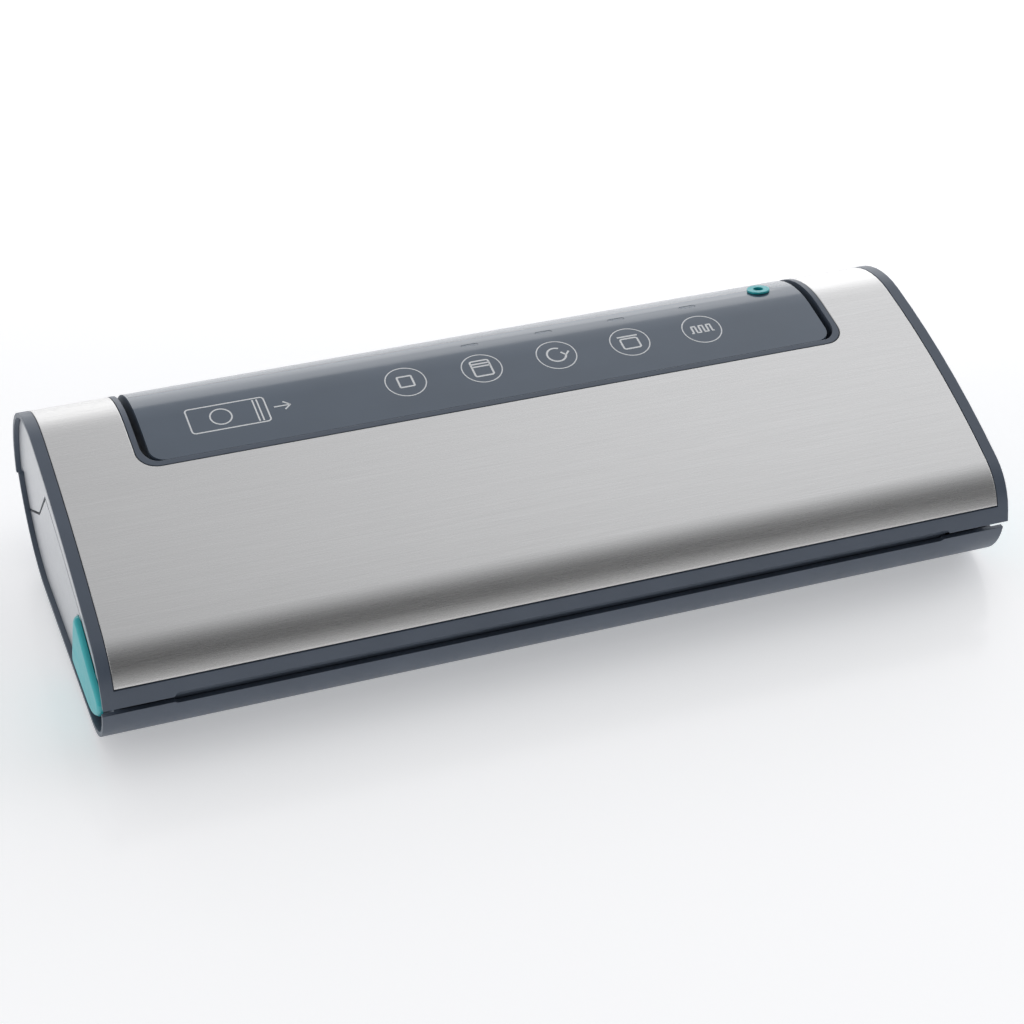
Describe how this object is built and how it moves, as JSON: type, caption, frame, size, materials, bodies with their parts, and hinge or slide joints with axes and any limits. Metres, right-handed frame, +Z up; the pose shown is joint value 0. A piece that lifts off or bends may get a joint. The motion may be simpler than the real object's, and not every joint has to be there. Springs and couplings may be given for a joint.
{
  "type": "vacuum sealer",
  "caption": "Countertop vacuum sealer: curved steel-covered lid hinged at the rear, fixed control console, bag slot across the front and a release button at each end.",
  "frame": {"origin": "on the table, under the middle of the appliance", "axes": "+X along the length to the user's right, -Y to the front where the bag goes in, +Z up"},
  "size_m": [0.4004, 0.173, 0.0855],
  "materials": {
    "slate_plastic": "fine moulded texture",
    "slate_gloss": "glossy",
    "silver_plastic": "satin, metallic flake",
    "teal_plastic": "satin",
    "brushed_steel": "lengthwise brushed",
    "plain_steel": "plain",
    "black_rubber": "matt",
    "black_plastic": "matt",
    "silicone": "satin",
    "coated_tape": "coated cloth",
    "lamp_plastic": "frosted",
    "circuit_board": "lacquered",
    "copper_winding": "wound wire",
    "hose_rubber": "translucent"
  },
  "bodies": {
    "lid": {"lid_steel_cover": "brushed_steel", "lid_frame": "slate_plastic", "lid_cheek_left": "silver_plastic", "lid_cheek_right": "silver_plastic", "lid_liner": "slate_plastic", "upper_gasket": "black_rubber", "pressure_strip": "silicone", "lid_catch_left": "plain_steel", "lid_catch_right": "plain_steel"},
    "base": {"base_shell": "slate_plastic", "base_deck": "slate_plastic", "lower_gasket": "black_rubber", "drip_tray": "slate_plastic", "seal_bar": "black_plastic", "heating_strip": "plain_steel", "seal_tape": "coated_tape", "vacuum_intake": "black_rubber", "control_console": "slate_gloss", "status_lamp_1": "lamp_plastic", "status_lamp_2": "lamp_plastic", "status_lamp_3": "lamp_plastic", "status_lamp_4": "lamp_plastic", "hose_port": "teal_plastic", "hinge_pin_left": "plain_steel", "hinge_pin_right": "plain_steel", "base_cheek_left": "silver_plastic", "base_cheek_right": "silver_plastic", "pump_motor": "plain_steel", "pump_head": "black_plastic", "transformer_core": "plain_steel", "transformer_coil": "copper_winding", "main_board": "circuit_board", "touch_board": "circuit_board", "cable_gland": "black_rubber", "intake_hose": "hose_rubber", "port_hose": "hose_rubber", "foot_front_left": "black_rubber", "foot_front_right": "black_rubber", "foot_rear_left": "black_rubber", "foot_rear_right": "black_rubber", "base_screw_front_left": "plain_steel", "base_screw_front_right": "plain_steel", "base_screw_rear_left": "plain_steel", "base_screw_rear_right": "plain_steel"},
    "button_left": {"release_button_left": "teal_plastic", "latch_frame_left": "black_plastic"},
    "button_right": {"release_button_right": "teal_plastic", "latch_frame_right": "black_plastic"}
  },
  "joints": [
    {"name": "lid_hinge", "type": "hinge", "parent": "base", "child": "lid", "pos_m": [0, 0.079, 0.0345], "axis": [-1, 0, 0], "range_deg": [0, 60]},
    {"name": "button_left_slide", "type": "slide", "parent": "base", "child": "button_left", "axis": [1, 0, 0], "range_m": [0, 0.0024], "stiffness_N_per_m": 500, "springref_m": -0.002},
    {"name": "button_right_slide", "type": "slide", "parent": "base", "child": "button_right", "axis": [-1, 0, 0], "range_m": [0, 0.0024], "stiffness_N_per_m": 500, "springref_m": -0.002}
  ]
}
